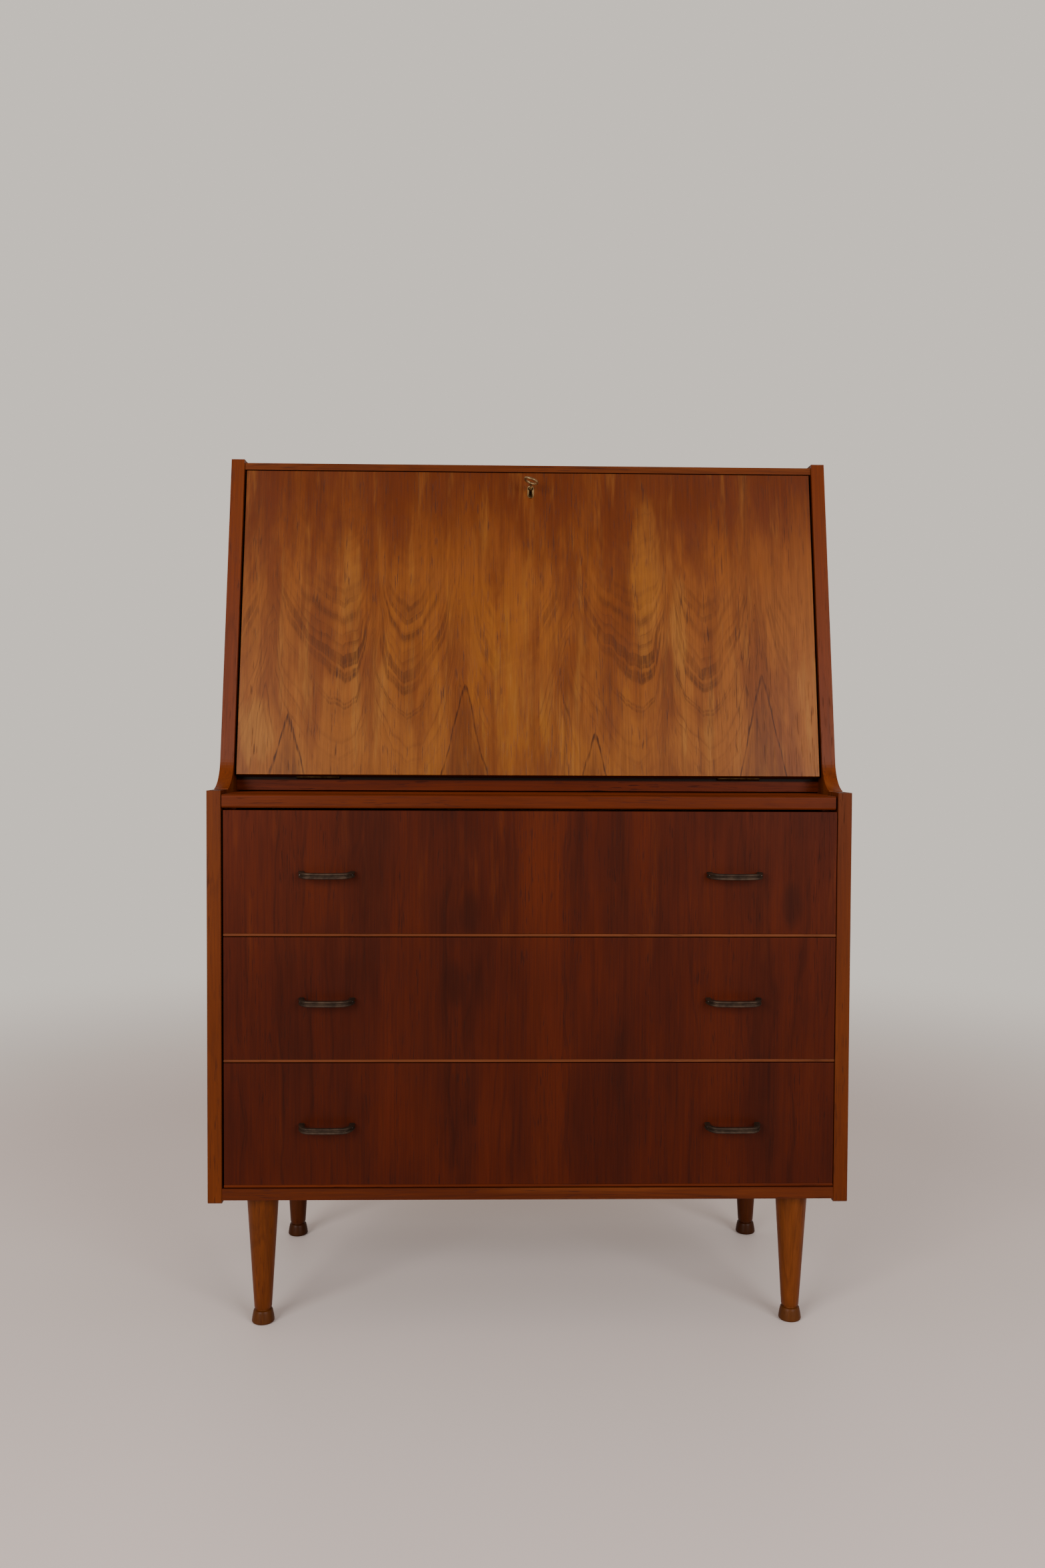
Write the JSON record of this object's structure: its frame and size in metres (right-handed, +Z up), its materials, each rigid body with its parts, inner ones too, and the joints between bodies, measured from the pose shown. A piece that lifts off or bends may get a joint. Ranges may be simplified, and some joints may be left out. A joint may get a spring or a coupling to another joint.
{
  "type": "secretary desk",
  "caption": "Teak secretary desk on turned legs with a sloping drop-down flap and lock, a pull-out writing slide and a chest of drawers with bar pulls below.",
  "frame": {"origin": "on the floor under the middle of the whole object's box, pulls included", "axes": "+Z up, the drawers and flap face -Y, +X is to the right of a person facing the desk"},
  "size_m": [0.87, 0.429, 1.219],
  "materials": {
    "flap_veneer": "warm teak veneer, satin oil finish",
    "drawer_veneer": "dark red-brown teak veneer, satin oil finish",
    "case_veneer": "teak veneer, satin oil finish",
    "lipping": "solid teak edge, satin",
    "leg_wood": "solid turned wood, satin",
    "drawer_wood": "pale solid wood, waxed",
    "beech": "pale beech, planed",
    "plywood": "thin plywood, unfinished",
    "bronze": "dark patinated bronze",
    "brass": "aged brass",
    "steel": "plain steel"
  },
  "bodies": {
    "carcass": {"side_left": "case_veneer", "side_right": "case_veneer", "side_lippings": "lipping", "cheek_left": "case_veneer", "cheek_right": "case_veneer", "cheek_lippings": "lipping", "bottom_panel": "case_veneer", "upper_floor": "case_veneer", "top_board": "case_veneer", "back_lower": "plywood", "back_upper": "plywood", "back_screws": "steel", "carcass_dowels": "beech", "drawer_runners": "beech", "slide_bearers": "beech", "pigeonhole_shelf": "case_veneer", "pigeonhole_dividers": "case_veneer", "strike_plate": "brass", "hinge_leaves_floor": "brass", "hinge_pins": "steel", "leg_front_left": "leg_wood", "leg_front_right": "leg_wood", "leg_back_left": "leg_wood", "leg_back_right": "leg_wood", "leg_bolts": "steel"},
    "flap": {"flap_panel": "flap_veneer", "flap_lippings": "lipping", "hinge_leaves_flap": "brass", "lock_case": "brass", "escutcheon": "brass"},
    "key": {"key": "brass"},
    "lock_bolt": {"lock_bolt": "steel"},
    "writing_slide": {"slide_board": "case_veneer", "slide_edge": "lipping"},
    "drawer_1": {"drawer_1_front": "drawer_veneer", "drawer_1_lipping": "lipping", "drawer_1_sides": "drawer_wood", "drawer_1_back": "drawer_wood", "drawer_1_bottom": "plywood", "drawer_1_pull_left": "bronze", "drawer_1_pull_right": "bronze", "drawer_1_pull_screws": "steel"},
    "drawer_2": {"drawer_2_front": "drawer_veneer", "drawer_2_lipping": "lipping", "drawer_2_sides": "drawer_wood", "drawer_2_back": "drawer_wood", "drawer_2_bottom": "plywood", "drawer_2_pull_left": "bronze", "drawer_2_pull_right": "bronze", "drawer_2_pull_screws": "steel"},
    "drawer_3": {"drawer_3_front": "drawer_veneer", "drawer_3_lipping": "lipping", "drawer_3_sides": "drawer_wood", "drawer_3_back": "drawer_wood", "drawer_3_bottom": "plywood", "drawer_3_pull_left": "bronze", "drawer_3_pull_right": "bronze", "drawer_3_pull_screws": "steel"}
  },
  "joints": [
    {"name": "flap_hinge", "type": "hinge", "parent": "carcass", "child": "flap", "pos_m": [0, -0.0845, 0.757], "axis": [1, 0, 0], "range_deg": [0, 100.9]},
    {"name": "key_turn", "type": "hinge", "parent": "flap", "child": "key", "pos_m": [0.002, -0.00394, 1.17531], "axis": [0, -0.982, 0.1891], "range_deg": [0, 90]},
    {"name": "bolt_throw", "type": "slide", "parent": "flap", "child": "lock_bolt", "axis": [0, 0.1891, 0.982], "range_m": [0, 0.007]},
    {"name": "slide_pull", "type": "slide", "parent": "carcass", "child": "writing_slide", "axis": [0, -1, 0], "range_m": [0, 0.24]},
    {"name": "drawer_1_pull", "type": "slide", "parent": "carcass", "child": "drawer_1", "axis": [0, -1, 0], "range_m": [0, 0.28]},
    {"name": "drawer_2_pull", "type": "slide", "parent": "carcass", "child": "drawer_2", "axis": [0, -1, 0], "range_m": [0, 0.28]},
    {"name": "drawer_3_pull", "type": "slide", "parent": "carcass", "child": "drawer_3", "axis": [0, -1, 0], "range_m": [0, 0.28]}
  ],
  "couplings": [
    {"joint": "bolt_throw", "follows": "key_turn", "m_per_rad": 0.00445}
  ]
}
